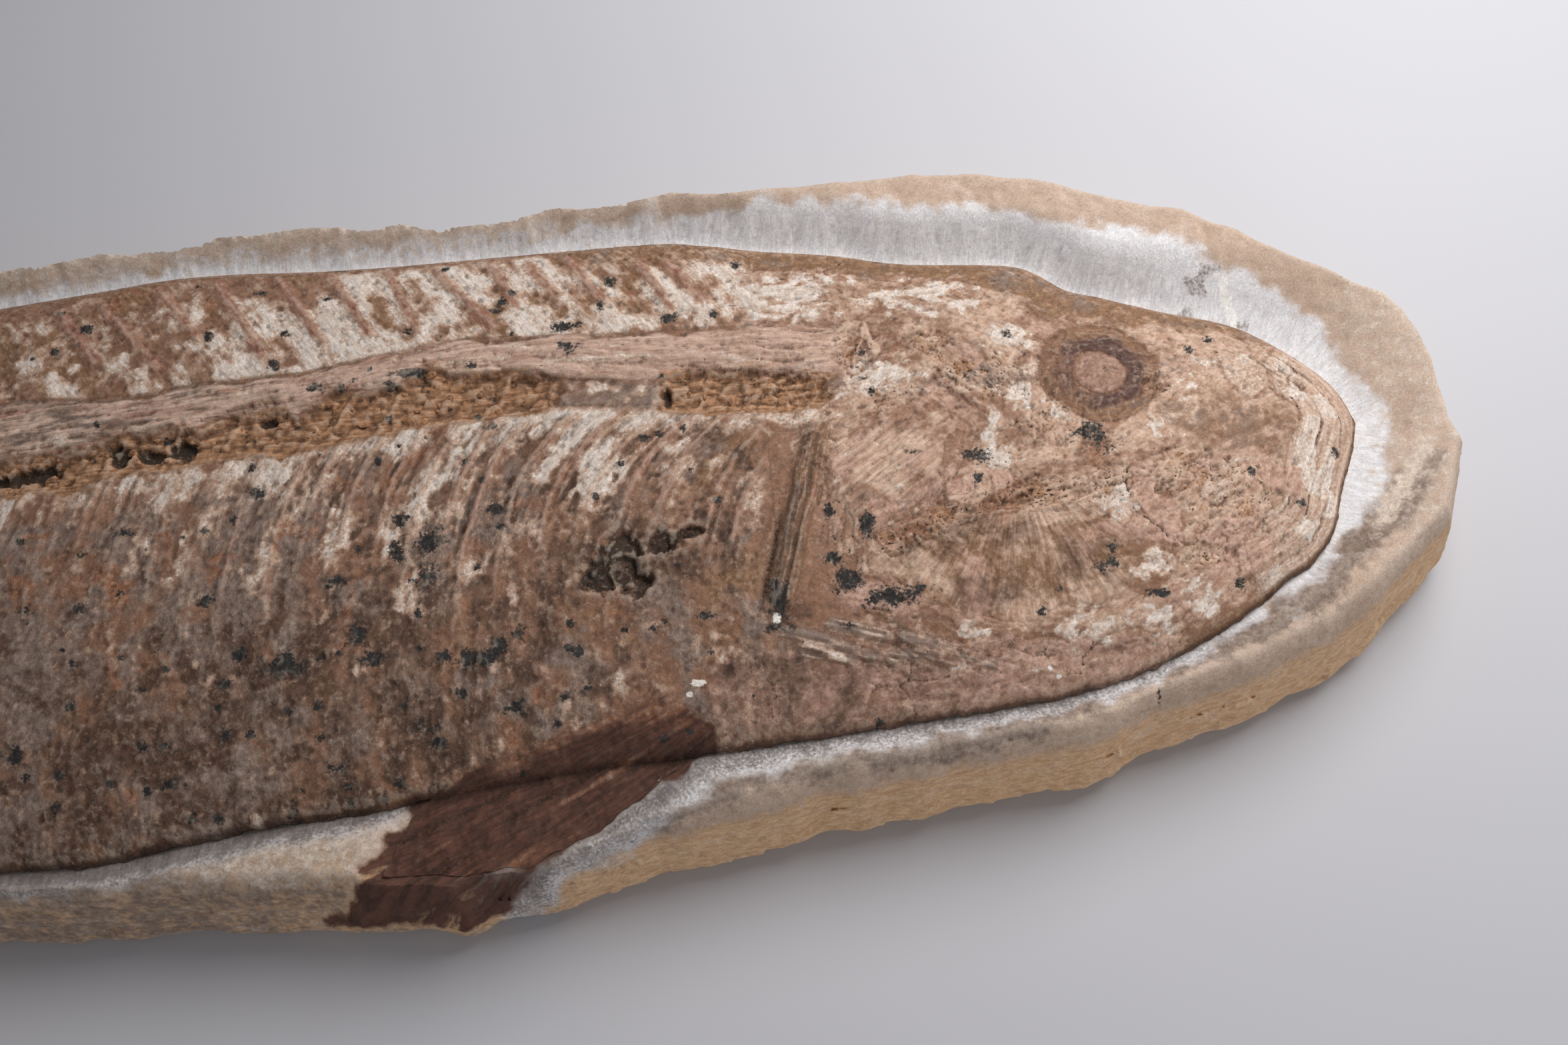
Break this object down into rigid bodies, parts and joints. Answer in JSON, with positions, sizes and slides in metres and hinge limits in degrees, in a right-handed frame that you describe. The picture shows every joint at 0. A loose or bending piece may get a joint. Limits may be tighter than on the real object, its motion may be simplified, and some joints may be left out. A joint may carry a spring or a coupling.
{
  "type": "fossil fish in a limestone slab",
  "caption": "Large fossil ray-finned fish lying on its side in a trimmed limestone slab, with its head, ribs, open backbone trough, fins and forked tail in relief.",
  "frame": {"origin": "under the middle of the slab's box, on the surface that it rests on", "axes": "+X to the fish's snout, +Y to its back, +Z out of the fish's side"},
  "size_m": [1.2584, 0.3198, 0.0763],
  "materials": {
    "limestone": "rough broken pale limestone with a prepared grey-white groove round the fish",
    "fossil_bone": "matt pinkish brown fossil bone with cream patches and black mineral spots"
  },
  "bodies": {
    "root": {"stone_matrix": "limestone", "fossil_fish": "fossil_bone"}
  },
  "joints": []
}
